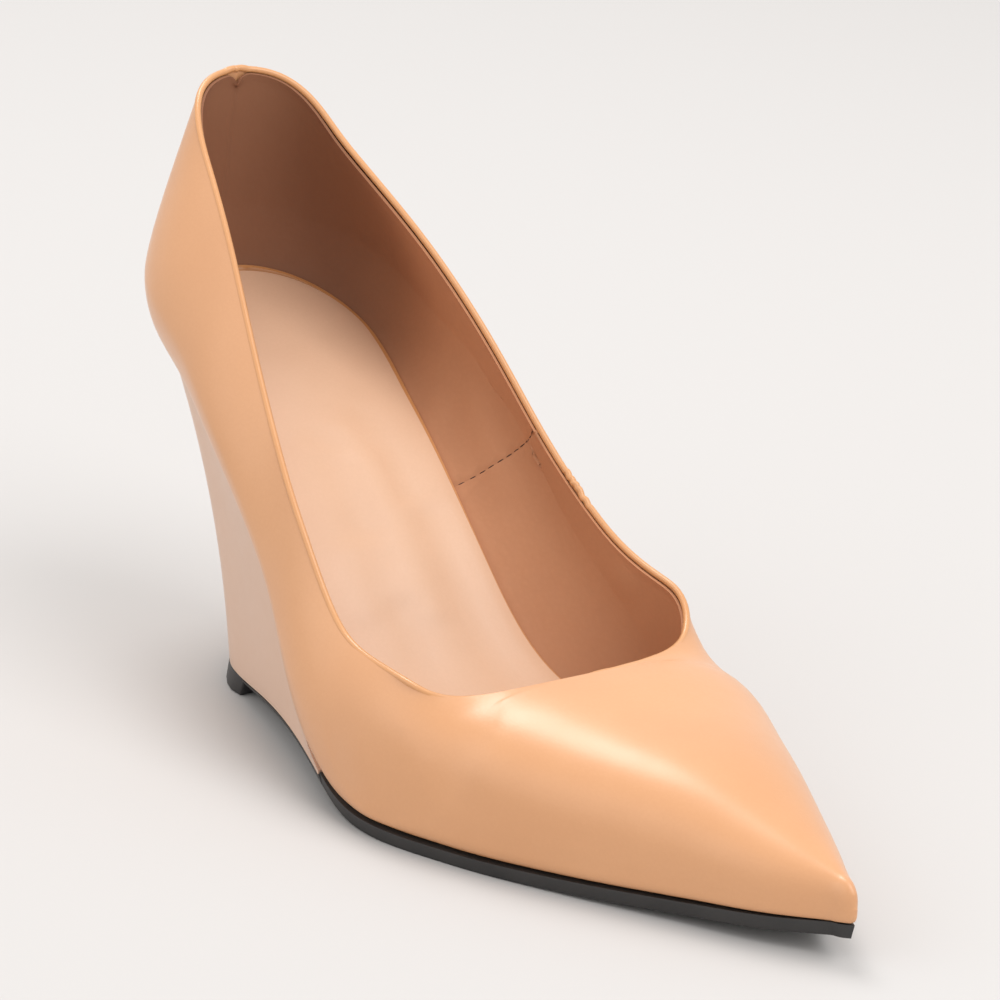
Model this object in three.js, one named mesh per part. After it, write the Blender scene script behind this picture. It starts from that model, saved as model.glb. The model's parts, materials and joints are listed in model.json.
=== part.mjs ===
// Wedge pump for the right foot: a pointed slip-on shoe on a leather-covered wedge.
// Millimetres. X runs from heel to toe, +Y is the inner (big toe) side and Z is up.
import * as THREE from "three";
import { mergeVertices } from "three/addons/utils/BufferGeometryUtils.js";

// Last, the foot shape that the shoe is built over
const LENGTH = 240; // heel back to toe tip at the feather line, along the floor
const BALL_WIDTH = 80; // across the feather line at the ball
const SEAT_HEIGHT = 82; // feather line at the back of the heel, above the floor
const INSTEP_HEIGHT = 36; // top of the vamp at the throat, above the floor
const COLLAR_RISE = 54; // topline at the back seam, above the seat
const TOE_SPRING = 6; // lift of the toe tip above the ball
const INNER_ARCH = 2; // feather line at the waist, higher on the inner side
const THROAT_TO_TOE = 84.5; // length of the vamp from the throat to the toe tip
const THROAT_CORNER_OUTER = 17; // length over which the throat's outer corner turns
const THROAT_CORNER_INNER = 21; // same for its inner corner
const HEEL_REACH = 30; // heel back to the centre of its round end
const TOE_REACH = 6; // toe tip to the centre of its round end
const BACK_BULGE = 1; // back of the heel, behind the feather line
const BACK_LEAN = 5; // topline at the back seam, in front of the bulge
const TOE_POWER = 1.5; // roundness of the toe tip seen from above, 1 is a straight point

// Upper and what lies in it
const WALL = 1.8; // leather and lining together
const LASTING_MARGIN = 8; // turned under the insole
const BOARD = 2; // insole board
const BOARD_CLEARANCE = 0.9; // board's edge to the lining
const BOARD_TOE_SPACE = 16; // toe tip to the front of the board
const SOCK = 1; // sock lining glued on the board
const SOCK_INSET = 3; // board's covered rim that shows round the sock
const SOCK_TOE_SPACE = 8; // front of the board to the front of the sock

// Sole, wedge and top piece
const SOLE = 3.5; // feather line above the floor at the ball
const SOLE_INSET = 0.8; // sole's top edge inside the feather line
const SOLE_BEVEL = 0.8; // sole's bottom edge inside its top edge
const SOLE_REAR = 1.2; // sole's thickness where it meets the top piece
const WEDGE_LENGTH = 117; // heel back to the wedge's front end
const WEDGE_FRONT = 1.2; // wedge's thickness at its front end
const WEDGE_INSET = 0.6; // wedge's top edge inside the feather line
const WEDGE_RAKE = 33; // wedge's bottom back corner, in front of the heel back
const WEDGE_WAIST = 9; // hollow of the wedge's back edge
const WEDGE_SIDE_WAIST = 3; // hollow of the wedge's sides
const WEDGE_BASE_OUTER = 23; // wedge's outer side on the top piece, from the heel's axis
const WEDGE_BASE_INNER = 20; // its inner side, likewise
const WEDGE_SPREAD = 1.3; // how late the wedge's base widens towards the ball, 1 is evenly
const SHANK_ARCH = 2; // rise of the wedge's underside between top piece and ball
const TOP_PIECE = 5; // height of the rubber top piece
const TOP_PIECE_LENGTH = 26; // top piece along the floor
const TOP_PIECE_SLANT = 2; // its front face leans back by this much at the floor
const GAP = 0.3; // glue line between two pieces
const SEAM = 0.6; // closest that two sections lie along the shoe
const TIP_HALF = 0.4; // half the width that a flat layer keeps at a pointed end
const WELD = 1e-4; // points closer than this are one
const RISER = 0.1; // run of the step in the sole's top in front of the wedge

// Feather line in side view. at: share of LENGTH. rise: share of seat above ball.
const RISE_ROWS = [
  { at: 0.0, rise: 1.0 },
  { at: 0.12, rise: 0.83 },
  { at: 0.24, rise: 0.665 },
  { at: 0.34, rise: 0.44 },
  { at: 0.44, rise: 0.14 },
  { at: 0.54, rise: 0.005 },
  { at: 0.62, rise: 0.0 },
];

// Feather line from above. at: share of LENGTH.
// outer, inner: distance from the heel's axis to either side, shares of BALL_WIDTH.
const WIDTH_ROWS = [
  { at: 0.12, outer: 0.33, inner: 0.335 },
  { at: 0.24, outer: 0.392, inner: 0.265 },
  { at: 0.36, outer: 0.43, inner: 0.235 },
  { at: 0.46, outer: 0.545, inner: 0.285 },
  { at: 0.56, outer: 0.575, inner: 0.45 },
  { at: 0.66, outer: 0.485, inner: 0.52 },
  { at: 0.76, outer: 0.335, inner: 0.425 },
  { at: 0.86, outer: 0.165, inner: 0.295 },
  { at: 0.94, outer: 0.035, inner: 0.18 },
  { at: 0.975, outer: -0.05, inner: 0.12 },
];

// Widest line of the upper. at: share of LENGTH. outer, inner: how far it stands out
// past the feather line, shares of BALL_WIDTH. outerUp, innerUp: its height above the
// feather line, shares of INSTEP_HEIGHT.
const BODY_ROWS = [
  { at: 0.12, outer: 0.1, inner: 0.095, outerUp: 0.5, innerUp: 0.5 },
  { at: 0.3, outer: 0.09, inner: 0.15, outerUp: 0.38, innerUp: 0.7 },
  { at: 0.38, outer: 0.07, inner: 0.18, outerUp: 0.33, innerUp: 0.75 },
  { at: 0.45, outer: 0.03, inner: 0.17, outerUp: 0.3, innerUp: 0.75 },
  { at: 0.6, outer: 0.0, inner: 0.05, outerUp: 0.28, innerUp: 0.33 },
  { at: 0.8, outer: 0.0, inner: 0.02, outerUp: 0.2, innerUp: 0.22 },
  { at: 0.975, outer: 0.0, inner: 0.01, outerUp: 0.1, innerUp: 0.11 },
];

// Roundness of the sections. at: share of LENGTH. power: 1 is flat, 2 is an ellipse.
const FULLNESS_ROWS = [
  { at: 0.12, power: 1.4 },
  { at: 0.4, power: 1.5 },
  { at: 0.5, power: 1.9 },
  { at: 0.6, power: 2.8 },
  { at: 0.8, power: 2.4 },
  { at: 0.975, power: 2.2 },
];

// Topline. at: share of LENGTH. outer, inner: height, shares of the collar's height.
const TOPLINE_ROWS = [
  { at: 0.0, outer: 1.0, inner: 1.0 },
  { at: 0.1, outer: 0.885, inner: 0.89 },
  { at: 0.2, outer: 0.75, inner: 0.77 },
  { at: 0.3, outer: 0.578, inner: 0.615 },
  { at: 0.4, outer: 0.422, inner: 0.453 },
  { at: 0.5, outer: 0.274, inner: 0.334 },
  { at: 0.6, outer: 0.264, inner: 0.295 },
];

// Opening from above. at: share of LENGTH.
// outer, inner: distance from the heel's axis to the topline, shares of BALL_WIDTH.
const OPENING_ROWS = [
  { at: 0.05, outer: 0.235, inner: 0.22 },
  { at: 0.125, outer: 0.265, inner: 0.245 },
  { at: 0.2, outer: 0.328, inner: 0.303 },
  { at: 0.29, outer: 0.398, inner: 0.368 },
  { at: 0.41, outer: 0.472, inner: 0.415 },
  { at: 0.49, outer: 0.482, inner: 0.458 },
  { at: 0.57, outer: 0.475, inner: 0.5 },
];

// Ridge of the vamp. at: share of the way from throat to toe centre.
// height: share of INSTEP_HEIGHT.
const RIDGE_ROWS = [
  { at: 0.0, height: 1.0 },
  { at: 0.25, height: 0.93 },
  { at: 0.5, height: 0.85 },
  { at: 0.75, height: 0.69 },
  { at: 1.0, height: 0.51 },
];

// Inward swing of the ridge. at: share of LENGTH. swing: share of BALL_WIDTH.
const SWING_ROWS = [
  { at: 0.3, swing: 0.0 },
  { at: 0.5, swing: -0.025 },
  { at: 0.65, swing: -0.005 },
  { at: 0.8, swing: 0.04 },
  { at: 0.975, swing: 0.09 },
];

// Stretch where the inner side of the bottom is arched, shares of LENGTH
const ARCH_SPAN = { from: 0.06, to: 0.56 };

// Steps of the sections round the shoe and up its side
const TOE_STEPS = 4;
const VAMP_STEPS = 13;
const QUARTER_STEPS = 19;
const HEEL_STEPS = 8;
const FLARE_LEVELS = [0, 0.5, 0.8, 1];
const BODY_STEPS = 8;
const WEDGE_STEPS = 6;

const COLLAR_HEIGHT = SEAT_HEIGHT + COLLAR_RISE;
const HEEL_CENTRE = HEEL_REACH;
const TOE_CENTRE = LENGTH - TOE_REACH;
const THROAT = LENGTH - THROAT_TO_TOE;
const SOLE_STEP = WEDGE_LENGTH + GAP + RISER;
const OUTER = {
  name: "outer",
  sign: -1,
  wedgeHalf: WEDGE_BASE_OUTER,
  corner: THROAT_CORNER_OUTER,
};
const INNER = {
  name: "inner",
  sign: 1,
  wedgeHalf: WEDGE_BASE_INNER,
  corner: THROAT_CORNER_INNER,
};

// A smooth curve through one column of a table, which never overshoots its rows
function curve(rows, column, freeStart = false) {
  const steps = [];
  for (let i = 0; i + 1 < rows.length; i++) {
    const run = rows[i + 1].at - rows[i].at;
    steps.push({ run, slope: (rows[i + 1][column] - rows[i][column]) / run });
  }
  const slopes = rows.map((row, i) => {
    const before = steps[i - 1];
    const after = steps[i];
    if (!before || !after || before.slope * after.slope <= 0) {
      return 0;
    }
    const nearBefore = 2 * after.run + before.run;
    const nearAfter = after.run + 2 * before.run;
    return (nearBefore + nearAfter) / (nearBefore / before.slope + nearAfter / after.slope);
  });
  slopes[0] = freeStart ? steps[0].slope : 0;
  slopes[rows.length - 1] = steps[steps.length - 1].slope;
  return (at) => {
    const clamped = THREE.MathUtils.clamp(at, rows[0].at, rows[rows.length - 1].at);
    let i = 0;
    while (i + 2 < rows.length && clamped > rows[i + 1].at) {
      i++;
    }
    const { run } = steps[i];
    const t = (clamped - rows[i].at) / run;
    const start = (1 + 2 * t) * (1 - t) ** 2 * rows[i][column] + t * (1 - t) ** 2 * run * slopes[i];
    const end = t * t * (3 - 2 * t) * rows[i + 1][column] - t * t * (1 - t) * run * slopes[i + 1];
    return start + end;
  };
}

const riseShare = curve(RISE_ROWS, "rise", true);
const ridgeShare = curve(RIDGE_ROWS, "height");
const swingShare = curve(SWING_ROWS, "swing");
const fullness = curve(FULLNESS_ROWS, "power");
for (const side of [OUTER, INNER]) {
  side.width = curve(WIDTH_ROWS, side.name);
  side.flare = curve(BODY_ROWS, side.name);
  side.belt = curve(BODY_ROWS, `${side.name}Up`);
  side.topline = curve(TOPLINE_ROWS, side.name);
  side.opening = curve(OPENING_ROWS, side.name);
}

// Distance from the heel's axis to the feather line
function halfWidth(side, x) {
  return BALL_WIDTH * side.width(x / LENGTH);
}

// Height of the outer side's feather line
function outerFeather(x) {
  const spring = THREE.MathUtils.clamp((x - THROAT) / (LENGTH - THROAT), 0, 1);
  return SOLE + (SEAT_HEIGHT - SOLE) * riseShare(x / LENGTH) + TOE_SPRING * spring ** 2;
}

// Height of the shoe's bottom, which rises across the waist to the arch's side
function bottomHeight(x, y) {
  const along = (x / LENGTH - ARCH_SPAN.from) / (ARCH_SPAN.to - ARCH_SPAN.from);
  const lift = INNER_ARCH * Math.sin(Math.PI * THREE.MathUtils.clamp(along, 0, 1)) ** 2;
  const outer = halfWidth(OUTER, x);
  return outerFeather(x) + (lift * (y + outer)) / (outer + halfWidth(INNER, x));
}

// A layer that lies parallel to the bottom, offset along its slope's own normal
function layerHeight(x, y, offset) {
  const slope = outerFeather(x + 0.5) - outerFeather(x - 0.5);
  return bottomHeight(x, y) + offset * Math.hypot(1, slope);
}

function ridgeHeight(x) {
  return INSTEP_HEIGHT * ridgeShare((x - THROAT) / (TOE_CENTRE - THROAT));
}

function ridgeSwing(x) {
  return BALL_WIDTH * swingShare(x / LENGTH);
}

// Height of the topline behind the throat's corner
function toplineHeight(side, x) {
  return COLLAR_HEIGHT * side.topline(x / LENGTH);
}

// One section of the upper: a vertical half plane that runs out from the ridge
// or the heel's centre to the feather line
function makeRib(side, x, angle, reach) {
  const way = new THREE.Vector2(Math.cos(angle), side.sign * Math.sin(angle));
  const origin = new THREE.Vector2(x, x > HEEL_CENTRE ? ridgeSwing(x) : 0);
  const feather = origin.clone().addScaledVector(way, reach);
  return { side, way, origin, reach, feather, end: way.x ** 2, heel: way.x < -WELD };
}

function straightRib(side, x) {
  return makeRib(side, x, Math.PI / 2, halfWidth(side, x) - side.sign * ridgeSwing(x));
}

// Ribs of one side, from the toe tip round to the back of the heel
function sideRibs(side) {
  const ribs = [];
  const toeHalf = straightRib(side, TOE_CENTRE).reach;
  for (let i = 0; i < TOE_STEPS; i++) {
    const angle = (i / TOE_STEPS) * (Math.PI / 2);
    const long = (Math.cos(angle) / TOE_REACH) ** TOE_POWER;
    const wide = (Math.sin(angle) / toeHalf) ** TOE_POWER;
    ribs.push(makeRib(side, TOE_CENTRE, angle, (long + wide) ** (-1 / TOE_POWER)));
  }
  for (let i = 0; i < VAMP_STEPS; i++) {
    ribs.push(straightRib(side, THREE.MathUtils.lerp(TOE_CENTRE, THROAT, i / VAMP_STEPS)));
  }
  for (let i = 0; i < QUARTER_STEPS; i++) {
    const share = 1 - Math.cos((i / QUARTER_STEPS) * (Math.PI / 2));
    ribs.push(straightRib(side, THREE.MathUtils.lerp(THROAT, HEEL_CENTRE, share)));
  }
  const heelHalf = halfWidth(side, HEEL_CENTRE);
  for (let i = 0; i <= HEEL_STEPS; i++) {
    const angle = (1 + i / HEEL_STEPS) * (Math.PI / 2);
    const reach = 1 / Math.hypot(Math.cos(angle) / HEEL_REACH, Math.sin(angle) / heelHalf);
    ribs.push(makeRib(side, HEEL_CENTRE, angle, reach));
  }
  return ribs;
}

// Flare of the upper's lower wall: how far it stands out and how high its widest line is
function flareOf(rib) {
  const at = rib.feather.x / LENGTH;
  const endBulge = rib.heel ? BACK_BULGE : 0;
  const out = BALL_WIDTH * rib.side.flare(at) * (1 - rib.end) + endBulge * rib.end;
  return { out, height: INSTEP_HEIGHT * rib.side.belt(at) };
}

// Distance from the rib's origin to the upper's outer face, at a height above the feather
function outerReach(rib, height) {
  const flare = flareOf(rib);
  const level = Math.min(height / flare.height, 1);
  return rib.reach + flare.out * (1 - (1 - level) ** 2);
}

// Same for the lining's face, a wall's thickness inside it
function liningReach(rib, height) {
  const flare = flareOf(rib);
  const level = Math.min(height / flare.height, 1);
  const slope = (2 * flare.out * (1 - level)) / flare.height;
  return outerReach(rib, height) - WALL * Math.hypot(1, slope);
}

function ribPoint(rib, reach, height) {
  const plan = rib.origin.clone().addScaledVector(rib.way, reach);
  return new THREE.Vector3(plan.x, plan.y, height);
}

function onVamp(rib) {
  return rib.feather.x > THROAT - WELD;
}

// How far a rib is round the throat's corner: 0 at the throat, 1 from the corner's end back
function cornerTurn(rib) {
  return THREE.MathUtils.clamp((THROAT - rib.feather.x) / rib.side.corner, 0, 1);
}

// Distance from the rib's origin to the topline, which turns in at the throat's corner
function openingReach(rib, widest) {
  const corner = Math.sqrt(1 - (1 - cornerTurn(rib)) ** 2);
  const half = BALL_WIDTH * rib.side.opening(rib.feather.x / LENGTH) - rib.side.sign * rib.origin.y;
  const across = half * corner;
  return across * (1 - rib.end) + (widest - BACK_LEAN) * rib.end;
}

// Points of the outer face on one rib, from the feather line to the ridge or the topline
function outerFace(rib) {
  const base = bottomHeight(rib.feather.x, rib.feather.y);
  const flare = flareOf(rib);
  const widest = rib.reach + flare.out;
  const belt = base + flare.height;
  const points = FLARE_LEVELS.map((level) =>
    ribPoint(rib, outerReach(rib, level * flare.height), base + level * flare.height),
  );
  const power = fullness(rib.feather.x / LENGTH);
  let crown = ridgeHeight(rib.origin.x);
  let last = Math.PI / 2;
  if (!onVamp(rib)) {
    const open = openingReach(rib, widest);
    const share = open / widest;
    const fall = (1 - share ** power) ** (1 / power);
    const top = toplineHeight(rib.side, rib.origin.x + rib.way.x * open);
    const behind = belt + (top - belt) / fall;
    crown = THREE.MathUtils.lerp(crown, behind, THREE.MathUtils.smoothstep(cornerTurn(rib), 0, 1));
    last = Math.acos(share ** (power / 2));
  }
  for (let i = 1; i <= BODY_STEPS; i++) {
    const angle = (i / BODY_STEPS) * last;
    const across = Math.max(Math.cos(angle), 0) ** (2 / power);
    const up = Math.sin(angle) ** (2 / power);
    points.push(ribPoint(rib, widest * across, belt + (crown - belt) * up));
  }
  return points;
}

// Surface collector: triangles that shrink to a line are left out
class Skin {
  constructor() {
    this.corners = [];
  }

  triangle(a, b, c) {
    const same = (p, q) => p.distanceTo(q) < WELD;
    if (!same(a, b) && !same(b, c) && !same(c, a)) {
      this.corners.push(a, b, c);
    }
  }

  quad(a, b, c, d) {
    this.triangle(a, b, c);
    this.triangle(a, c, d);
  }

  geometry() {
    const loose = new THREE.BufferGeometry().setFromPoints(this.corners);
    const merged = mergeVertices(loose, WELD);
    merged.computeVertexNormals();
    return merged;
  }
}

// Average outward direction at each point of the outer face
function faceDirections(faces) {
  const sums = new Map();
  const key = (p) => [p.x, p.y, p.z].map((value) => Math.round(value / (10 * WELD))).join();
  const count = faces.length;
  const edgeA = new THREE.Vector3();
  const edgeB = new THREE.Vector3();
  for (let i = 0; i < count; i++) {
    const here = faces[i];
    const next = faces[(i + 1) % count];
    for (let j = 0; j + 1 < here.length; j++) {
      edgeA.subVectors(next[j + 1], here[j]);
      edgeB.subVectors(here[j + 1], next[j]);
      const normal = new THREE.Vector3().crossVectors(edgeB, edgeA);
      for (const point of new Set([here[j], here[j + 1], next[j], next[j + 1]].map(key))) {
        sums.set(point, (sums.get(point) ?? new THREE.Vector3()).add(normal));
      }
    }
  }
  return (point) => sums.get(key(point)).clone().normalize();
}

// Direction out of the shoe seen from above, at each rib's point of the feather line
function planDirections(ribs) {
  return ribs.map((rib, i) => {
    const before = ribs[(i + ribs.length - 1) % ribs.length].feather;
    const after = ribs[(i + 1) % ribs.length].feather;
    return new THREE.Vector2(after.y - before.y, before.x - after.x).normalize().negate();
  });
}

// Both sides' ribs as one loop: toe tip, outer side, heel back, inner side
function ribLoop() {
  return [...sideRibs(OUTER), ...sideRibs(INNER).slice(1, -1).reverse()];
}

// Upper: an open shell with its lasting margin turned under
function makeUpper() {
  const ribs = ribLoop();
  const faces = ribs.map(outerFace);
  const outward = faceDirections(faces);
  const plan = planDirections(ribs);
  const profiles = ribs.map((rib, i) => {
    const lining = faces[i].map((point) => point.clone().addScaledVector(outward(point), -WALL));
    const foot = rib.feather;
    const margin = Math.min(LASTING_MARGIN, rib.reach / 2);
    const flare = outerReach(rib, WALL) - rib.reach;
    const inset = flare - (outerReach(rib, WALL) - liningReach(rib, WALL));
    const corner = foot.clone().addScaledVector(plan[i], inset);
    const edge = foot.clone().addScaledVector(rib.way, -margin);
    lining[0].set(corner.x, corner.y, layerHeight(corner.x, corner.y, WALL));
    const under = [
      new THREE.Vector3(edge.x, edge.y, layerHeight(edge.x, edge.y, WALL)),
      new THREE.Vector3(edge.x, edge.y, bottomHeight(edge.x, edge.y)),
    ];
    return [...faces[i], ...lining.reverse(), ...under];
  });
  const skin = new Skin();
  const rim = faces[0].length - 1;
  for (let i = 0; i < ribs.length; i++) {
    const next = (i + 1) % ribs.length;
    const here = profiles[i];
    const there = profiles[next];
    const closed = onVamp(ribs[i]) && onVamp(ribs[next]);
    for (let j = 0; j < here.length; j++) {
      const up = (j + 1) % here.length;
      if (!(closed && j === rim)) {
        skin.quad(here[j], here[up], there[up], there[j]);
      }
    }
  }
  return skin.geometry();
}

// Closed body through rings of equal count, lowest first, each a loop from the front
// along the outer side, round the back and forward on the inner side
function loftRings(rings) {
  const skin = new Skin();
  const count = rings[0].length;
  const mate = (i) => (count - i) % count;
  rings.slice(1).forEach((ring, k) => {
    for (let i = 0; i < count; i++) {
      const next = (i + 1) % count;
      skin.quad(rings[k][i], ring[i], ring[next], rings[k][next]);
    }
  });
  const bottom = rings[0];
  const top = rings[rings.length - 1];
  for (let i = 0; i < count / 2; i++) {
    const next = i + 1;
    skin.quad(bottom[mate(i)], bottom[i], bottom[next], bottom[mate(next)]);
    skin.quad(top[mate(i)], top[mate(next)], top[next], top[i]);
  }
  return skin.geometry();
}

// A loop made of both sides' rows, each given from the front to the back. The front
// starts at the middle, and the back closes at the middle.
function loopOf(outerRow, innerRow) {
  const middle = (a, b) => a.clone().lerp(b, 0.5);
  const last = outerRow.length - 1;
  const front = middle(outerRow[0], innerRow[0]);
  const back = middle(outerRow[last], innerRow[last]);
  return [front, ...outerRow, back, ...innerRow.slice().reverse()];
}

// Ribs of one side from a place along the shoe round to the middle of the heel's back
function ribsBehind(side, from) {
  const behind = sideRibs(side).filter(({ feather }) => feather.x < from - SEAM);
  return [straightRib(side, from), ...behind];
}

// Ribs of one side between two places, with a straight one at each end
function ribsBetween(side, from, to) {
  const kept = ribsBehind(side, from).filter(({ feather }) => feather.x > to + SEAM);
  return [...kept, straightRib(side, to)];
}

// Insole board and sock: flat layers that follow the bottom inside the lining
function makeInsoleLayer(lift, thickness, toeSpace, inset) {
  const front = LENGTH - toeSpace;
  const ring = (offset) => {
    const rows = [OUTER, INNER].map((side) =>
      ribsBehind(side, front).map((rib) => {
        const reach = liningReach(rib, lift) - BOARD_CLEARANCE - inset;
        const point = ribPoint(rib, Math.max(reach, TIP_HALF), 0);
        point.z = layerHeight(point.x, point.y, offset);
        return point;
      }),
    );
    return loopOf(...rows);
  };
  return loftRings([ring(lift), ring(lift + thickness)]);
}

// Underside of the wedge: on the top piece, then arched, then down to the wedge's front
function wedgeBase(x) {
  const start = WEDGE_RAKE + TOP_PIECE_LENGTH;
  const seated = TOP_PIECE + GAP;
  if (x <= start) {
    return seated;
  }
  const t = Math.min((x - start) / (WEDGE_LENGTH - start), 1);
  const front = outerFeather(WEDGE_LENGTH) - WEDGE_FRONT;
  return seated + (front - seated) * t * t * (3 - 2 * t) + SHANK_ARCH * Math.sin(Math.PI * t);
}

// Bottom outline of the wedge below a rib of the feather line
function wedgeFoot(rib) {
  const share = rib.feather.x / WEDGE_LENGTH;
  const widestAt = Math.max(rib.feather.x, HEEL_CENTRE);
  const x = THREE.MathUtils.lerp(WEDGE_RAKE, WEDGE_LENGTH, share);
  const frontHalf = halfWidth(rib.side, WEDGE_LENGTH) - WEDGE_INSET;
  const half = THREE.MathUtils.lerp(rib.side.wedgeHalf, frontHalf, share ** WEDGE_SPREAD);
  const aside = Math.abs(rib.feather.y) / halfWidth(rib.side, widestAt);
  return new THREE.Vector3(x, rib.side.sign * aside * half, wedgeBase(x));
}

// Wedge: lofted down from the feather line to its bottom, with a hollow back and sides
function makeWedge() {
  const rows = [OUTER, INNER].map((side) => ribsBehind(side, WEDGE_LENGTH));
  const rings = [];
  for (let step = 0; step <= WEDGE_STEPS; step++) {
    const up = step / WEDGE_STEPS;
    const hollow = 4 * up * (1 - up);
    const ringRows = rows.map((ribs) =>
      ribs.map((rib) => {
        const top = ribPoint(rib, rib.reach - WEDGE_INSET, 0);
        top.z = layerHeight(top.x, top.y, -GAP);
        const point = wedgeFoot(rib).lerp(top, up);
        const depth = Math.min(1, (top.z - wedgeFoot(rib).z) / SEAT_HEIGHT);
        point.x += WEDGE_WAIST * hollow * rib.end * depth;
        point.y -= rib.side.sign * WEDGE_SIDE_WAIST * hollow * (1 - rib.end) * depth;
        return point;
      }),
    );
    rings.push(loopOf(...ringRows));
  }
  return loftRings(rings);
}

// Height of the sole's top, which carries the wedge and then the upper itself
function soleTop({ x, y }) {
  return x < SOLE_STEP ? wedgeBase(x) - GAP : layerHeight(x, y, -GAP);
}

// Underside of the sole: flat under the ball, sprung at the toe, thin behind the ball
function soleBottom({ x }) {
  const start = WEDGE_RAKE + TOP_PIECE_LENGTH + GAP;
  const full = SOLE - GAP;
  if (x >= SOLE_STEP) {
    return outerFeather(x) - SOLE;
  }
  const t = (x - start) / (SOLE_STEP - start);
  const front = outerFeather(SOLE_STEP) - SOLE;
  const step = wedgeBase(SOLE_STEP) - GAP - front;
  return wedgeBase(x) - GAP - THREE.MathUtils.lerp(SOLE_REAR, Math.min(step, full), t);
}

// Sole: one strip of rubber from the top piece to the toe
function makeSole() {
  const rear = WEDGE_RAKE + TOP_PIECE_LENGTH + GAP;
  const stepped = (side) => {
    const front = sideRibs(side).filter(({ feather }) => feather.x > SOLE_STEP + SEAM);
    const step = straightRib(side, SOLE_STEP);
    return [...front, step, ...ribsBetween(side, SOLE_STEP - RISER, rear)];
  };
  const ring = (inset, heightAt) => {
    const [outerRow, innerRow] = [OUTER, INNER].map((side) =>
      stepped(side).map((rib) => {
        const x = rib.feather.x;
        const edge = x < SOLE_STEP ? soleEdge(rib) : rib.reach - SOLE_INSET;
        const point = ribPoint(rib, Math.max(edge - inset, TIP_HALF), 0);
        point.z = heightAt(point);
        return point;
      }),
    );
    const back = outerRow[outerRow.length - 1].clone().lerp(innerRow[innerRow.length - 1], 0.5);
    return [...outerRow, back, ...innerRow.slice(1).reverse()];
  };
  return loftRings([ring(SOLE_BEVEL, soleBottom), ring(0, soleTop)]);
}

// The sole under the wedge follows the wedge's bottom outline
function soleEdge(rib) {
  const share = (rib.feather.x - WEDGE_RAKE) / (WEDGE_LENGTH - WEDGE_RAKE);
  const frontHalf = halfWidth(rib.side, WEDGE_LENGTH) - SOLE_INSET;
  const spread = Math.max(share, 0) ** WEDGE_SPREAD;
  const half = THREE.MathUtils.lerp(rib.side.wedgeHalf, frontHalf, spread);
  return half - rib.side.sign * rib.origin.y;
}

// Top piece: the rubber block that the wedge's back corner stands on
function makeTopPiece() {
  const end = WEDGE_RAKE + TOP_PIECE_LENGTH;
  const ring = (height, slant) => {
    const rows = [OUTER, INNER].map((side) => {
      const feet = ribsBehind(side, WEDGE_LENGTH)
        .map(wedgeFoot)
        .filter((foot) => foot.x < end - SEAM);
      const front = new THREE.Vector3(end, feet[0].y, 0);
      return [front, ...feet].map((foot) => {
        const along = (foot.x - WEDGE_RAKE) / TOP_PIECE_LENGTH;
        return new THREE.Vector3(foot.x - slant * along, foot.y, height);
      });
    });
    return loopOf(...rows);
  };
  return loftRings([ring(0, TOP_PIECE_SLANT), ring(TOP_PIECE, 0)]);
}

const FINISHES = {
  tanLeather: { color: "#c08a5a", roughness: 0.45, metalness: 0 },
  beigeSock: { color: "#d2a582", roughness: 0.7, metalness: 0 },
  blackRubber: { color: "#1d1b1a", roughness: 0.6, metalness: 0 },
};

const PIECES = [
  { name: "upper", shape: makeUpper, finish: "tanLeather" },
  {
    name: "insole",
    shape: () => makeInsoleLayer(WALL + GAP, BOARD, BOARD_TOE_SPACE, 0),
    finish: "tanLeather",
  },
  {
    name: "sock",
    shape: () =>
      makeInsoleLayer(WALL + BOARD + 2 * GAP, SOCK, BOARD_TOE_SPACE + SOCK_TOE_SPACE, SOCK_INSET),
    finish: "beigeSock",
  },
  { name: "wedge", shape: makeWedge, finish: "tanLeather" },
  { name: "outsole", shape: makeSole, finish: "blackRubber" },
  { name: "top_piece", shape: makeTopPiece, finish: "blackRubber" },
];

// The whole shoe, moved so that its origin is under the middle of its bounding box
function makeShoe() {
  const shoe = new THREE.Group();
  for (const { name, shape, finish } of PIECES) {
    const mesh = new THREE.Mesh(shape(), new THREE.MeshStandardMaterial(FINISHES[finish]));
    mesh.name = name;
    shoe.add(mesh);
  }
  const box = new THREE.Box3().setFromObject(shoe);
  const middle = box.getCenter(new THREE.Vector3());
  shoe.position.set(-middle.x, -middle.y, -box.min.z);
  const part = new THREE.Group();
  part.add(shoe);
  return part;
}

export default makeShoe();
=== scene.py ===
import json
import math

import bpy
from mathutils import Matrix, Vector
from mathutils.geometry import intersect_point_line

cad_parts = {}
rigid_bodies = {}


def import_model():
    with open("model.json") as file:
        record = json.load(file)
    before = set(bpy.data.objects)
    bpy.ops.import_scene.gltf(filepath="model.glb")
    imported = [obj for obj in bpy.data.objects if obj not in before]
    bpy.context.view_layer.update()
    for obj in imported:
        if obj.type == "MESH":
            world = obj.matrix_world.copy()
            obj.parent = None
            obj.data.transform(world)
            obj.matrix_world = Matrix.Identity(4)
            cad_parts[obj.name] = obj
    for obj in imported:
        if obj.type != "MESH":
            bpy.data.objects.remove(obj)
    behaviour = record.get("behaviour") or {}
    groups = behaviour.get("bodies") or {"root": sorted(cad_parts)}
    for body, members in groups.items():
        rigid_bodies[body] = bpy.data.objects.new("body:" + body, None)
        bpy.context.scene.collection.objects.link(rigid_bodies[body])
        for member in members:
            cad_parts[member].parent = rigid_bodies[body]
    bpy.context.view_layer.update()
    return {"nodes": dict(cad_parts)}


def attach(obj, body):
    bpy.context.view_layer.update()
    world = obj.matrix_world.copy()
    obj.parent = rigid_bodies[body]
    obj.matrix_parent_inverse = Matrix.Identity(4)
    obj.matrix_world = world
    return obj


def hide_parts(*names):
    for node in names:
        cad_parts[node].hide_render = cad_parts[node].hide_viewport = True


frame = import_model()
MM = 0.001


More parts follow.
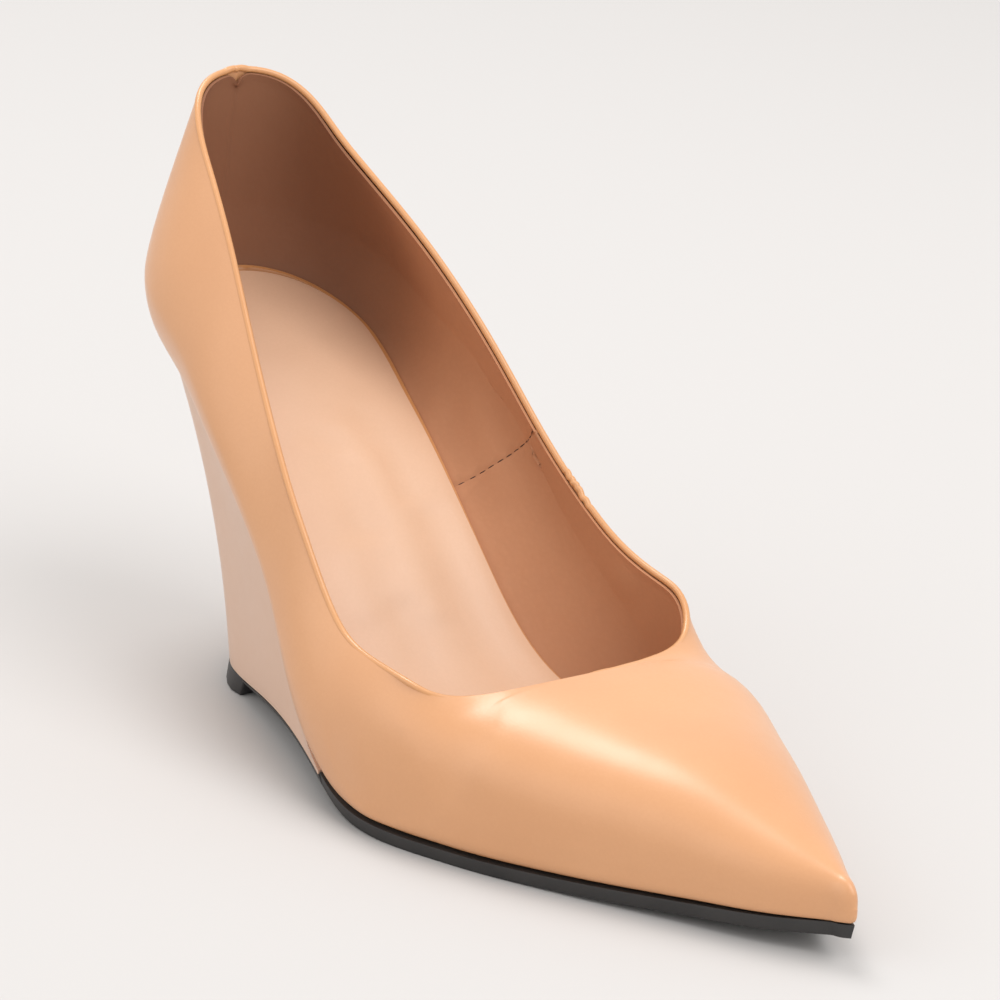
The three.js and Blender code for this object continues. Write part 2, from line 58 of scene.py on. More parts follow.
# Insole board: the stiff board that the upper is lasted round, glued down on its margin.
# The board's edge is wrapped in thin tan leather, a narrow rim round the sock.

RIM_EDGE = 0.35 * MM
RIM_BAND = 0.95 * MM
RIM_STEP = 0.3 * MM
RIM_LIFT = 0.9 * MM
FACES_UP = 0.6
RIM_TAN = (0.56, 0.25, 0.09, 1)
RIM_SHADE = (0.42, 0.17, 0.055, 1)


def open_piece(piece, kind="FACE", test=lambda item: False):
    """Open a piece in edit mode with the vertices, edges or faces that pass a test selected."""
    bpy.ops.object.select_all(action="DESELECT")
    piece.select_set(True)
    bpy.context.view_layer.objects.active = piece
    mesh = piece.data
    for items in (mesh.vertices, mesh.edges, mesh.polygons):
        items.foreach_set("select", [False] * len(items))
    items = {"VERT": mesh.vertices, "EDGE": mesh.edges, "FACE": mesh.polygons}[kind]
    for item in items:
        item.select = bool(test(item))
    bpy.context.tool_settings.mesh_select_mode = [kind == k for k in ("VERT", "EDGE", "FACE")]
    bpy.ops.object.mode_set(mode="EDIT")


def close_piece():
    bpy.ops.object.mode_set(mode="OBJECT")


def copy_of(node, name):
    """A merged copy of a CAD solid, its triangles joined into four-sided faces."""
    piece = bpy.data.objects.new(name, frame["nodes"][node].data.copy())
    piece.data.name = name
    piece.data.materials.clear()
    bpy.context.scene.collection.objects.link(piece)
    open_piece(piece, "FACE", lambda face: True)
    bpy.ops.mesh.remove_doubles(threshold=0.002 * MM)
    bpy.ops.mesh.tris_convert_to_quads(face_threshold=0.7, shape_threshold=1.2)
    close_piece()
    return piece


def apply_modifier(piece, kind, **settings):
    """Add one modifier to a piece and apply it."""
    bpy.ops.object.select_all(action="DESELECT")
    piece.select_set(True)
    bpy.context.view_layer.objects.active = piece
    modifier = piece.modifiers.new(kind.title(), kind)
    for setting, value in settings.items():
        setattr(modifier, setting, value)
    bpy.ops.object.modifier_apply(modifier=modifier.name)


def smooth_shade(piece, degrees=40):
    bpy.ops.object.select_all(action="DESELECT")
    piece.select_set(True)
    bpy.context.view_layer.objects.active = piece
    bpy.ops.object.shade_smooth_by_angle(angle=math.radians(degrees))


def round_layer(piece, levels, radius, corner=75):
    """Round over a layer's edges. Levels smooth its outline, but for corners over an angle."""
    sides = {}
    for face in piece.data.polygons:
        for key in face.edge_keys:
            sides.setdefault(key, []).append(face.normal)

    def is_corner(edge):
        one, other = sides[edge.key]
        at_rim = (abs(one.z) > FACES_UP) != (abs(other.z) > FACES_UP)
        return at_rim or one.angle(other) > math.radians(corner)

    if levels:
        open_piece(piece, "EDGE", is_corner)
        bpy.ops.transform.edge_crease(value=1.0)
        close_piece()
        apply_modifier(piece, "SUBSURF", levels=levels, render_levels=levels)
    apply_modifier(
        piece, "BEVEL", width=radius, segments=3, limit_method="ANGLE",
        angle_limit=math.radians(35), use_clamp_overlap=True,
    )
    smooth_shade(piece)


def add_node(tree, kind, **settings):
    node = tree.nodes.new(kind)
    for setting, value in settings.items():
        setattr(node, setting, value)
    return node


def set_inputs(node, **values):
    for label, value in values.items():
        node.inputs[label.replace("_", " ")].default_value = value
    return node


def make_group(name, inputs, outputs):
    """A node group with named sockets. Returns it with its input and output nodes."""
    group = bpy.data.node_groups.new(name, "ShaderNodeTree")
    for label, kind, value in inputs:
        socket = group.interface.new_socket(label, in_out="INPUT", socket_type=kind)
        socket.default_value = value
    for label, kind in outputs:
        group.interface.new_socket(label, in_out="OUTPUT", socket_type=kind)
    return group, group.nodes.new("NodeGroupInput"), group.nodes.new("NodeGroupOutput")


def make_grain():
    """Calf grain: close cells over softer swells, with slow clouds of a second shade."""
    group, given, made = make_group(
        "Calf grain",
        [
            ("Colour", "NodeSocketColor", (0.5, 0.3, 0.15, 1)),
            ("Shade", "NodeSocketColor", (0.3, 0.15, 0.07, 1)),
            ("Roughness", "NodeSocketFloat", 0.35),
            ("Cells", "NodeSocketFloat", 1400.0),
        ],
        [
            ("Colour", "NodeSocketColor"),
            ("Roughness", "NodeSocketFloat"),
            ("Height", "NodeSocketFloat"),
        ],
    )
    link = group.links.new
    place = add_node(group, "ShaderNodeTexCoord").outputs["Object"]
    cells = add_node(group, "ShaderNodeTexVoronoi", feature="SMOOTH_F1")
    link(place, cells.inputs["Vector"])
    link(given.outputs["Cells"], cells.inputs["Scale"])
    swell = set_inputs(add_node(group, "ShaderNodeTexNoise"), Scale=240.0, Detail=4.0)
    link(place, swell.inputs["Vector"])
    cloud = set_inputs(add_node(group, "ShaderNodeTexNoise"), Scale=26.0, Detail=3.0)
    link(place, cloud.inputs["Vector"])
    spread = add_node(group, "ShaderNodeMapRange")
    set_inputs(spread, From_Min=0.35, From_Max=0.7, To_Min=0.0, To_Max=0.35)
    link(cloud.outputs["Fac"], spread.inputs["Value"])
    clouded = add_node(group, "ShaderNodeMix", data_type="RGBA")
    link(spread.outputs["Result"], clouded.inputs["Factor"])
    link(given.outputs["Colour"], clouded.inputs[6])
    link(given.outputs["Shade"], clouded.inputs[7])
    pores = add_node(group, "ShaderNodeMapRange")
    set_inputs(pores, From_Min=0.0, From_Max=0.6, To_Min=0.0, To_Max=0.12)
    link(cells.outputs["Distance"], pores.inputs["Value"])
    tinted = add_node(group, "ShaderNodeMix", data_type="RGBA")
    link(pores.outputs["Result"], tinted.inputs["Factor"])
    link(clouded.outputs[2], tinted.inputs[6])
    link(given.outputs["Shade"], tinted.inputs[7])
    link(tinted.outputs[2], made.inputs["Colour"])
    height = add_node(group, "ShaderNodeMath", operation="MULTIPLY_ADD")
    height.inputs[1].default_value = -0.5
    link(cells.outputs["Distance"], height.inputs[0])
    link(swell.outputs["Fac"], height.inputs[2])
    link(height.outputs["Value"], made.inputs["Height"])
    rub = add_node(group, "ShaderNodeMath", operation="MULTIPLY_ADD")
    rub.inputs[1].default_value = 0.14
    link(swell.outputs["Fac"], rub.inputs[0])
    link(given.outputs["Roughness"], rub.inputs[2])
    link(rub.outputs["Value"], made.inputs["Roughness"])
    return group


CALF_GRAIN = make_grain()


def leather(name, colour, shade, roughness, bump, coat, cells=1400.0):
    """Dyed leather: its grain from the shared group, under a thin wax finish."""
    made = bpy.data.materials.new(name)
    made.use_nodes = True
    tree = made.node_tree
    shader = tree.nodes["Principled BSDF"]
    skin = add_node(tree, "ShaderNodeGroup", node_tree=CALF_GRAIN)
    set_inputs(skin, Colour=colour, Shade=shade, Roughness=roughness, Cells=cells)
    tree.links.new(skin.outputs["Colour"], shader.inputs["Base Color"])
    tree.links.new(skin.outputs["Roughness"], shader.inputs["Roughness"])
    raised = set_inputs(add_node(tree, "ShaderNodeBump"), Strength=1.0, Distance=bump)
    tree.links.new(skin.outputs["Height"], raised.inputs["Height"])
    tree.links.new(raised.outputs["Normal"], shader.inputs["Normal"])
    set_inputs(shader, Coat_Weight=coat, Coat_Roughness=0.28)
    return made


def raise_rim(piece):
    """Raise a band along the edge of a board's top, with a short step down inside it."""
    first_inner = len(piece.data.vertices)
    open_piece(piece, "FACE", lambda face: face.normal.z > FACES_UP)
    bpy.ops.mesh.inset(thickness=RIM_BAND, use_boundary=True, use_even_offset=True)
    close_piece()
    middle = {face.index for face in piece.data.polygons if face.select}
    band = [
        face for face in piece.data.polygons
        if face.normal.z > FACES_UP and max(face.vertices) >= first_inner
    ]
    raised = {number for face in band for number in face.vertices}
    open_piece(piece, "FACE", lambda face: face.index in middle)
    bpy.ops.mesh.inset(thickness=RIM_STEP, use_boundary=True, use_even_offset=True)
    close_piece()
    open_piece(piece, "VERT", lambda vertex: vertex.index in raised)
    bpy.ops.transform.translate(value=(0, 0, RIM_LIFT))
    close_piece()


insole_rim = copy_of("insole", "insole_rim")
raise_rim(insole_rim)
round_layer(insole_rim, 2, RIM_EDGE)
insole_rim.data.materials.append(leather("Rim leather", RIM_TAN, RIM_SHADE, 0.3, 0.02 * MM, 0.15))
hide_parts("insole")
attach(insole_rim, "root")


# Sock: beige leather on thin foam, glued on the board from the heel to under the toes.
# The foam lifts its middle a little, and long soft waves run through its waist.

SOCK_EDGE = 0.35 * MM
SOCK_BEIGE = (0.70, 0.44, 0.29, 1)
SOCK_SHADE = (0.58, 0.34, 0.21, 1)
SOCK_WAVES = [
    {"line": [(-80, -1), (-30, -4), (20, -5)], "push": 0.5, "reach": 20},
    {"line": [(-62, 6), (-30, 8), (8, 14)], "push": -0.6, "reach": 7},
    {"line": [(-50, 0), (-22, 0), (18, 5)], "push": 0.5, "reach": 6},
    {"line": [(-58, -7), (-26, -9), (12, -9)], "push": -0.6, "reach": 7},
    {"line": [(-34, -15), (-10, -18), (22, -19)], "push": 0.4, "reach": 6},
    {"line": [(0, 13), (24, 18), (50, 18)], "push": 0.4, "reach": 7},
]


def push_line(piece, test, distance, push, reach):
    """Push the vertices near a line along their normals, fading out over a reach."""
    open_piece(piece, "VERT", lambda vertex: test(vertex) and distance(vertex.co) < 1.2 * MM)
    bpy.ops.transform.shrink_fatten(
        value=push * MM, use_proportional_edit=True, proportional_edit_falloff="SMOOTH",
        proportional_size=reach * MM, use_proportional_connected=True,
    )
    close_piece()


def line_distance(points):
    """Distance of a place from a line through points given in millimetres."""
    places = [Vector(point) * MM for point in points]
    flat = len(points[0]) == 2

    def distance(place):
        spot = place.to_2d() if flat else place
        nearest = []
        for start, end in zip(places, places[1:]):
            share = intersect_point_line(spot, start, end)[1]
            foot = start.lerp(end, min(max(share, 0), 1))
            nearest.append((foot - spot).length)
        return min(nearest)

    return distance


sock_pad = copy_of("sock", "sock_pad")
round_layer(sock_pad, 4, SOCK_EDGE)
for wave in SOCK_WAVES:
    is_top = lambda vertex: vertex.normal.z > 0.5
    push_line(sock_pad, is_top, line_distance(wave["line"]), wave["push"], wave["reach"])
smooth_shade(sock_pad)
sock_pad.data.materials.append(leather("Sock leather", SOCK_BEIGE, SOCK_SHADE, 0.34, 0.02 * MM, 0.1))
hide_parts("sock")
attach(sock_pad, "root")


# Upper leather: vamp and quarters of smooth tan calf, lasted over the foot shape and turned
# under the board. It is joined at the back of the heel and on the inner side of the waist.

LEATHER = 0.95 * MM
SEAM_HALF = 0.4 * MM
SEAM_DEPTH = 0.25 * MM
INNER_SEAM_X = -17 * MM
INNER_SEAM_RUN = Vector((-13, 0, -30)).normalized()
CALF_TAN = (0.68, 0.345, 0.165, 1)
CALF_SHADE = (0.57, 0.26, 0.11, 1)
OVER_VAMP = Vector((70, 0, 60)) * MM
IN_TOE_BOX = Vector((60, 0, 27)) * MM
CORNER = 60
UPPER_CREASES = [
    {"line": [(38, -36, 25), (46, -37, 14)], "push": -0.3, "reach": 9},
    {"line": [(8, -40, 30), (18, -45, 10)], "push": 0.35, "reach": 9},
    {"line": [(-24, -38, 44), (-14, -42, 24)], "push": -0.45, "reach": 11},
    {"line": [(-90, -30, 104), (-86, -34, 88)], "push": 0.35, "reach": 14},
    {"line": [(-10, 38, 40), (4, 42, 16)], "push": -0.45, "reach": 10},
    {"line": [(50, 20, 29), (62, 34, 20)], "push": -0.3, "reach": 10},
]
SOFT_SPOTS = [
    {"place": (113, 8, 17), "reach": 8, "passes": 10},
    {"place": (22, -38, 27), "reach": 22, "passes": 90},
    {"place": (27, 34, 30), "reach": 12, "passes": 20},
]


def smooth_region(piece, place):
    """Numbers of the faces that run on smoothly from the face nearest to a place."""
    seed = min(piece.data.polygons, key=lambda face: (face.center - place).length).index
    open_piece(piece, "EDGE")
    bpy.ops.mesh.edges_select_sharp(sharpness=math.radians(CORNER))
    bpy.ops.mesh.mark_seam(clear=False)
    close_piece()
    open_piece(piece, "FACE", lambda face: face.index == seed)
    bpy.ops.mesh.select_linked(delimit={"SEAM"})
    close_piece()
    return {face.index for face in piece.data.polygons if face.select}


def keep_faces(piece, kept):
    open_piece(piece, "FACE", lambda face: face.index not in kept)
    bpy.ops.mesh.delete(type="FACE")
    close_piece()


def select_border(piece):
    """Open a piece in edit mode with its open edges selected."""
    open_piece(piece, "EDGE")
    bpy.ops.mesh.select_non_manifold(
        extend=False, use_wire=False, use_boundary=True, use_multi_face=False,
        use_non_contiguous=False, use_verts=False,
    )


def border_of(piece):
    """Numbers of the vertices on a piece's open edges."""
    select_border(piece)
    close_piece()
    return {number for edge in piece.data.edges if edge.select for number in edge.vertices}


def top_at(places, x):
    """The highest of the places near a given length along the shoe, on its inner side."""
    near = [place for place in places if place.y > 20 * MM and abs(place.x - x) < 1.5 * MM]
    return max(near, key=lambda place: place.z)


def cut_seam(piece, place, across, is_near, depth):
    """Cut a groove along a plane: a cut on either side of the seam, and its middle pushed in."""
    for shift in (-SEAM_HALF, 0, SEAM_HALF):
        open_piece(piece, "FACE", lambda face: is_near(face.center))
        bpy.ops.mesh.bisect(plane_co=place + across * shift, plane_no=across)
        close_piece()
    on_seam = lambda v: is_near(v.co) and abs((v.co - place).dot(across)) < 0.02 * MM
    open_piece(piece, "VERT", on_seam)
    bpy.ops.transform.shrink_fatten(value=-depth)
    close_piece()


upper_leather = copy_of("upper", "upper_leather")
outside = smooth_region(upper_leather, OVER_VAMP)
inside = smooth_region(upper_leather, IN_TOE_BOX)
margin = {face.index for face in upper_leather.data.polygons if face.normal.z < -0.7} - inside
keep_faces(upper_leather, outside | margin)
apply_modifier(upper_leather, "SUBSURF", levels=2, render_levels=2)
on_border = border_of(upper_leather)
for spot in SOFT_SPOTS:
    is_near = lambda vertex: (vertex.co - Vector(spot["place"]) * MM).length < spot["reach"] * MM
    open_piece(upper_leather, "VERT", lambda vertex: is_near(vertex) and vertex.index not in on_border)
    bpy.ops.mesh.vertices_smooth(factor=0.5, repeat=spot["passes"])
    close_piece()
for crease in UPPER_CREASES:
    push_line(
        upper_leather, lambda vertex: vertex.index not in on_border,
        line_distance(crease["line"]), crease["push"], crease["reach"],
    )
places = [vertex.co.copy() for vertex in upper_leather.data.vertices]
back_top = max(places, key=lambda place: place.z)
inner_top = top_at(places, INNER_SEAM_X)
inner_across = INNER_SEAM_RUN.cross(Vector((0, 1, 0))).normalized()
cut_seam(
    upper_leather, back_top, Vector((0, 1, 0)),
    lambda place: place.x < back_top.x + 8 * MM and abs(place.y - back_top.y) < 3 * MM,
    SEAM_DEPTH,
)
cut_seam(
    upper_leather, inner_top, inner_across,
    lambda place: place.y > 15 * MM and abs((place - inner_top).dot(inner_across)) < 3 * MM,
    SEAM_DEPTH,
)
bead_path = upper_leather.copy()
bead_path.data = upper_leather.data.copy()
bpy.context.scene.collection.objects.link(bead_path)
apply_modifier(upper_leather, "SOLIDIFY", thickness=LEATHER, offset=-1)
smooth_shade(upper_leather, 50)
calf = leather("Tan calf", CALF_TAN, CALF_SHADE, 0.3, 0.03 * MM, 0.4)
upper_leather.data.materials.append(calf)
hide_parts("upper")
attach(upper_leather, "root")


# Topline fold: the leather's skived edge is folded over a tape and stitched down, which
# leaves a round edge. Its ends butt at the back seam and at the inner seam.

FOLD_RADIUS = 0.8 * MM
FOLD_INSET = 0.45 * MM
FOLD_TAN = (0.66, 0.32, 0.13, 1)
FOLD_SHADE = (0.56, 0.25, 0.09, 1)

bead_path.name = "topline_fold"
bead_path.data.name = "topline_fold"
open_piece(bead_path, "VERT", lambda vertex: True)
bpy.ops.transform.shrink_fatten(value=-FOLD_INSET)
close_piece()
select_border(bead_path)
bpy.ops.mesh.select_all(action="INVERT")
bpy.ops.mesh.delete(type="EDGE_FACE")
bpy.ops.mesh.select_all(action="SELECT")
bpy.ops.mesh.delete_loose(use_verts=True, use_edges=False, use_faces=False)
close_piece()
peak = max(bead_path.data.vertices, key=lambda vertex: vertex.co.z).index
open_piece(bead_path, "VERT", lambda vertex: vertex.index == peak)
bpy.ops.mesh.select_linked()
bpy.ops.mesh.select_all(action="INVERT")
bpy.ops.mesh.delete(type="VERT")
close_piece()
fold_ends = [back_top, inner_top]
is_end = lambda place: min((place - end).length for end in fold_ends) < 6 * MM
edge_place = lambda edge: bead_path.data.vertices[edge.vertices[0]].co
open_piece(bead_path, "EDGE", lambda edge: is_end(edge_place(edge)))
bpy.ops.mesh.subdivide(number_cuts=4, smoothness=1)
close_piece()
open_piece(bead_path, "VERT", lambda vertex: True)
bpy.ops.transform.translate(value=(0, 0, -FOLD_INSET))
close_piece()
bpy.ops.object.select_all(action="DESELECT")
bead_path.select_set(True)
bpy.context.view_layer.objects.active = bead_path
bpy.ops.object.convert(target="CURVE")
topline_fold = bpy.context.object
topline_fold.data.bevel_depth = FOLD_RADIUS
topline_fold.data.bevel_resolution = 3
bpy.ops.object.convert(target="MESH")
topline_fold = bpy.context.object
for end in fold_ends:
    beside = lambda vertex: 0.5 * MM < (vertex.co - end).length < 1.6 * MM
    open_piece(topline_fold, "VERT", beside)
    bpy.ops.transform.translate(
        value=(0, 0, 0.35 * MM), use_proportional_edit=True,
        proportional_edit_falloff="SMOOTH", proportional_size=2.5 * MM,
    )
    close_piece()
smooth_shade(topline_fold, 60)
topline_fold.data.materials.append(leather("Folded edge", FOLD_TAN, FOLD_SHADE, 0.28, 0.01 * MM, 0.4))
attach(topline_fold, "root")


# Lining: brown microfibre, stitched into the folded topline and lasted in under the board.
# It is joined at the heel, and a stitched seam crosses its inner side at the waist.

LINING = 0.6 * MM
LINING_DROP = 1.0 * MM
LINING_NOTCH = 2.4 * MM
LINING_SEAM_X = -29.5 * MM
LINING_SEAM_RUN = Vector((-21, 0, -24)).normalized()
LINING_BROWN = (0.52, 0.235, 0.115, 1)
LINING_SHADE = (0.40, 0.165, 0.078, 1)
# Painted shade: the dark brown mixed into the lining towards the heel, where the heel cup lies in
# shade.
LINING_HEEL_SHADE = (0.17, 0.068, 0.035, 1)
LINING_FOLDS = [
    {"line": [(-112, -7, 124), (-109, -8, 100)], "push": 1.0, "reach": 4},
    {"line": [(-113, 5, 125), (-110, 6, 98)], "push": 1.0, "reach": 3.5},
    {"line": [(-111, 11, 124), (-108, 12, 100)], "push": -0.6, "reach": 4},
    {"line": [(-106, 16, 118), (-103, 18, 98)], "push": 0.4, "reach": 5},
    {"line": [(-72, 27, 88), (-50, 28, 66), (-36, 27, 50)], "push": 0.5, "reach": 6},
    {"line": [(-62, 28, 82), (-48, 28, 68), (-40, 27, 62)], "push": -0.5, "reach": 5},
    {"line": [(-76, 24, 80), (-62, 24, 66), (-56, 23, 54)], "push": 0.5, "reach": 5},
    {"line": [(-44, 26, 56), (-38, 25, 44)], "push": -0.45, "reach": 4},
    {"line": [(-24, 28, 48), (-8, 30, 32)], "push": 0.5, "reach": 5},
    {"line": [(-14, 32, 44), (0, 34, 28)], "push": -0.45, "reach": 5},
    {"line": [(0, 36, 38), (12, 37, 24)], "push": 0.45, "reach": 6},
]


def by_the_fold(place):
    """Whether a place on the lining's edge lies at the topline."""
    return (topline_fold.closest_point_on_mesh(place)[1] - place).length < 3 * MM


def paint_heel_shade(material):
    """Paint shade into a leather's colour, darker gradually towards the back of the shoe: painted shade
    inside the heel cup.
    """
    tree = material.node_tree
    along = add_node(tree, "ShaderNodeSeparateXYZ")
    tree.links.new(add_node(tree, "ShaderNodeTexCoord").outputs["Object"], along.inputs["Vector"])
    painted_heel_shade = add_node(tree, "ShaderNodeMapRange", interpolation_type="SMOOTHSTEP")
    set_inputs(painted_heel_shade, From_Min=-0.068, From_Max=-0.11, To_Min=0.0, To_Max=0.7)
    tree.links.new(along.outputs["X"], painted_heel_shade.inputs["Value"])
    darkened = add_node(tree, "ShaderNodeMix", data_type="RGBA")
    darkened.inputs[7].default_value = LINING_HEEL_SHADE
    skin = next(node for node in tree.nodes if node.type == "GROUP")
    tree.links.new(painted_heel_shade.outputs["Result"], darkened.inputs["Factor"])
    tree.links.new(skin.outputs["Colour"], darkened.inputs[6])
    tree.links.new(darkened.outputs[2], tree.nodes["Principled BSDF"].inputs["Base Color"])


lining = copy_of("upper", "lining")
keep_faces(lining, smooth_region(lining, IN_TOE_BOX))
apply_modifier(lining, "SUBSURF", levels=2, render_levels=2)
for fold in LINING_FOLDS:
    push_line(lining, lambda vertex: True, line_distance(fold["line"]), fold["push"], fold["reach"])
cut_seam(
    lining, back_top, Vector((0, 1, 0)),
    lambda place: place.x < back_top.x + 12 * MM and abs(place.y - back_top.y) < 3 * MM,
    0.2 * MM,
)
lining_top = top_at(places, LINING_SEAM_X)
lining_across = LINING_SEAM_RUN.cross(Vector((0, 1, 0))).normalized()
cut_seam(
    lining, lining_top, lining_across,
    lambda place: place.y > 10 * MM and abs((place - lining_top).dot(lining_across)) < 3 * MM,
    0.3 * MM,
)


on_edge = border_of(lining)
open_piece(lining, "VERT", lambda vertex: vertex.index in on_edge and by_the_fold(vertex.co))
bpy.ops.transform.translate(
    value=(0, 0, -LINING_DROP), use_proportional_edit=True,
    proportional_edit_falloff="SMOOTH", proportional_size=3 * MM, use_proportional_connected=True,
)
close_piece()
at_back = lambda vertex: abs(vertex.co.y - back_top.y) < 0.1 * MM and vertex.co.z > back_top.z - 3 * MM
open_piece(lining, "VERT", lambda vertex: vertex.co.x < 0 and at_back(vertex))
bpy.ops.transform.translate(
    value=(0, 0, -LINING_NOTCH), use_proportional_edit=True,
    proportional_edit_falloff="SHARP", proportional_size=3 * MM, use_proportional_connected=True,
)
close_piece()
apply_modifier(lining, "SOLIDIFY", thickness=LINING, offset=-1)
smooth_shade(lining, 50)
microfibre = leather("Lining", LINING_BROWN, LINING_SHADE, 0.7, 0.05 * MM, 0.0, 900.0)
lining.data.materials.append(microfibre)
# Painted shade: the lining's colour darkens towards the heel cup.
paint_heel_shade(microfibre)
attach(lining, "root")


# Lining stitches: one row of dark thread that closes the lining's seam at the waist.

STITCH = 1.7 * MM
STITCH_PITCH = 2.0 * MM
THREAD = 0.15 * MM
THREAD_BROWN = (0.05, 0.02, 0.012, 1)


def make_stitch(place, way):
    """One stitch: a length of thread, thick in its middle, pulled into the lining."""
    bpy.ops.mesh.primitive_uv_sphere_add(segments=8, ring_count=6, radius=1)
    stitch = bpy.context.object
    stitch.data.transform(Matrix.Diagonal((THREAD, THREAD, STITCH / 2, 1)))
    stitch.data.transform(Matrix.Translation(place) @ way.to_track_quat("Z", "Y").to_matrix().to_4x4())
    return stitch


seam_spots = []
for number in range(40):
    from_top = lining_top + LINING_SEAM_RUN * (STITCH_PITCH * (number + 1))
    start = Vector((from_top.x, back_top.y, from_top.z))
    found, spot, normal, face = lining.ray_cast(start, Vector((0, 1, 0)))
    if found and (start - spot).length > 8 * MM:
        seam_spots.append(spot + normal * 0.08 * MM)
stitches = []
for spot, following in zip(seam_spots, seam_spots[1:]):
    stitches.append(make_stitch(spot, following - spot))
bpy.ops.object.select_all(action="DESELECT")
for stitch in stitches:
    stitch.select_set(True)
bpy.context.view_layer.objects.active = stitches[0]
bpy.ops.object.join()
lining_stitches = bpy.context.object
lining_stitches.name = "lining_stitches"
smooth_shade(lining_stitches)
thread = leather("Brown thread", THREAD_BROWN, THREAD_BROWN, 0.5, 0.02 * MM, 0.0, 3000.0)
lining_stitches.data.materials.append(thread)
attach(lining_stitches, "root")


# Wedge: a moulded block covered in the upper's leather, glued and screwed on under the
# heel and waist. The cover is stretched smooth and turned over its edges.

WEDGE_EDGE = 0.6 * MM
# Painted side light: the cover's colours are paler and pinker than the upper's calf. The pinker tone is
# the cover's own, and the paleness is side light painted in.
COVER_TAN_WITH_PAINTED_SIDE_LIGHT = (0.67, 0.45, 0.33, 1)
COVER_DARKER_TAN_WITH_PAINTED_SIDE_LIGHT = (0.60, 0.38, 0.26, 1)

wedge_cover = copy_of("wedge", "wedge_cover")
round_layer(wedge_cover, 2, WEDGE_EDGE, 45)
# The cover's material carries painted side light in its colours.
wedge_cover.data.materials.append(leather("Wedge calf with painted side light", COVER_TAN_WITH_PAINTED_SIDE_LIGHT, COVER_DARKER_TAN_WITH_PAINTED_SIDE_LIGHT, 0.34, 0.016 * MM, 0.25))
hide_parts("wedge")
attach(wedge_cover, "root")


# Outsole: one strip of black rubber, cut to the shoe's outline, roughened and glued on
# from the toe back to the top piece. Fine ribs run across its underside.

SOLE_EDGE = 0.6 * MM
RUBBER_BLACK = (0.018, 0.0175, 0.018, 1)
RUBBER_DUST = (0.045, 0.042, 0.04, 1)


def make_rubber():
    """Matt black rubber with a fine tooth, a little dust and ribs where it faces down."""
    made = bpy.data.materials.new("Black rubber")
    made.use_nodes = True
    tree = made.node_tree
    link = tree.links.new
    shader = tree.nodes["Principled BSDF"]
    place = add_node(tree, "ShaderNodeTexCoord").outputs["Object"]
    tooth = set_inputs(add_node(tree, "ShaderNodeTexNoise"), Scale=1600.0, Detail=3.0)
    link(place, tooth.inputs["Vector"])
    dust = set_inputs(add_node(tree, "ShaderNodeTexNoise"), Scale=90.0, Detail=4.0)
    link(place, dust.inputs["Vector"])
    greyed = add_node(tree, "ShaderNodeMix", data_type="RGBA")
    greyed.inputs[6].default_value = RUBBER_BLACK
    greyed.inputs[7].default_value = RUBBER_DUST
    link(dust.outputs["Fac"], greyed.inputs["Factor"])
    link(greyed.outputs[2], shader.inputs["Base Color"])
    ribs = add_node(tree, "ShaderNodeTexWave", wave_type="BANDS", bands_direction="X")
    set_inputs(ribs, Scale=160.0, Distortion=0.0)
    link(place, ribs.inputs["Vector"])
    facing = add_node(tree, "ShaderNodeSeparateXYZ")
    link(add_node(tree, "ShaderNodeNewGeometry").outputs["Normal"], facing.inputs["Vector"])
    below = set_inputs(add_node(tree, "ShaderNodeMapRange"), From_Min=-0.7, From_Max=-0.9)
    link(facing.outputs["Z"], below.inputs["Value"])
    tread = add_node(tree, "ShaderNodeMath", operation="MULTIPLY")
    link(ribs.outputs["Fac"], tread.inputs[0])
    link(below.outputs["Result"], tread.inputs[1])
    height = add_node(tree, "ShaderNodeMath", operation="MULTIPLY_ADD")
    height.inputs[1].default_value = 8.0
    link(tread.outputs["Value"], height.inputs[0])
    link(tooth.outputs["Fac"], height.inputs[2])
    raised = set_inputs(add_node(tree, "ShaderNodeBump"), Strength=1.0, Distance=0.03 * MM)
    link(height.outputs["Value"], raised.inputs["Height"])
    link(raised.outputs["Normal"], shader.inputs["Normal"])
    set_inputs(shader, Roughness=0.5)
    return made


black_rubber = make_rubber()
outsole = copy_of("outsole", "outsole_rubber")
round_layer(outsole, 2, SOLE_EDGE)
outsole.data.materials.append(black_rubber)
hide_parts("outsole")
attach(outsole, "root")


# Top piece: the rubber block under the wedge's back corner, nailed on from below. It
# wears first, and stands level with the sole under the ball.

TOP_PIECE_EDGE = 0.5 * MM

top_rubber = copy_of("top_piece", "top_rubber")
round_layer(top_rubber, 0, TOP_PIECE_EDGE)
top_rubber.data.materials.append(black_rubber)
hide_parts("top_piece")
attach(top_rubber, "root")


# Floor, light and camera: a pale paper floor under soft studio light. The camera keeps
# the photograph's place and roll, and is aimed at the one shoe with a longer lens.

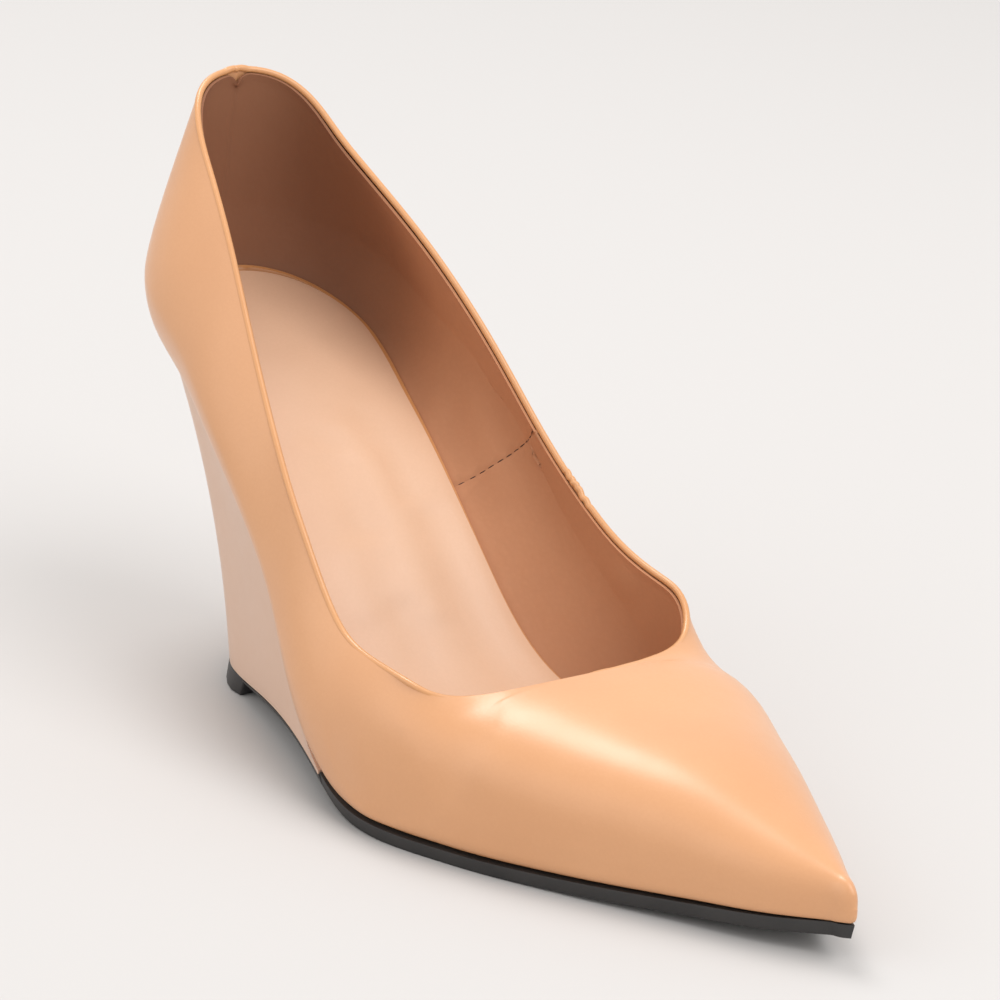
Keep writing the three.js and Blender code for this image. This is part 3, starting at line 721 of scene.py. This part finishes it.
FLOOR_HALF = 4.0
PAPER = (0.557, 0.54, 0.528, 1)
CAMERA_PLACE = Vector((714.9, -523.1, 378.7)) * MM
AIM = Vector((-26.5, 19.8, 52.5)) * MM
CAMERA_ROLL = math.radians(3.1)
LENS = 154
LIGHT_AIM = Vector((0, 0, 0.05))

bpy.ops.mesh.primitive_plane_add(size=2 * FLOOR_HALF)
floor = bpy.context.object
floor.name = "floor"
paper = bpy.data.materials.new("Paper floor")
paper.use_nodes = True
set_inputs(paper.node_tree.nodes["Principled BSDF"], Base_Color=PAPER, Roughness=0.95)
floor.data.materials.append(paper)

world = bpy.context.scene.world or bpy.data.worlds.new("Studio")
bpy.context.scene.world = world
world.use_nodes = True
set_inputs(world.node_tree.nodes["Background"], Color=(1.0, 0.99, 0.98, 1), Strength=0.85)


def soft_light(name, place, size, power):
    bpy.ops.object.light_add(type="AREA", location=place)
    lamp = bpy.context.object
    lamp.name = name
    lamp.data.shape = "RECTANGLE"
    lamp.data.size = size[0]
    lamp.data.size_y = size[1]
    lamp.data.energy = power
    lamp.rotation_euler = (Vector(place) - LIGHT_AIM).to_track_quat("Z", "Y").to_euler()


soft_light("overhead_box", (0.9, 0.3, 1.4), (1.1, 1.1), 13)
soft_light("heel_box", (-0.7, 0.15, 1.5), (0.6, 0.9), 12)
soft_light("side_box", (-0.3, -1.4, 0.8), (1.6, 1.2), 4)

back = (CAMERA_PLACE - AIM).normalized()
level_right = Vector((0, 0, 1)).cross(back).normalized()
level_up = back.cross(level_right)
right = level_right * math.cos(CAMERA_ROLL) + level_up * math.sin(CAMERA_ROLL)
up = level_up * math.cos(CAMERA_ROLL) - level_right * math.sin(CAMERA_ROLL)
turn = Matrix((right, up, back)).transposed().to_4x4()
bpy.ops.object.camera_add()
camera = bpy.context.object
camera.matrix_world = Matrix.Translation(CAMERA_PLACE) @ turn
camera.data.lens = LENS
camera.data.sensor_width = 36
bpy.context.scene.camera = camera
bpy.context.scene.view_settings.view_transform = "Standard"
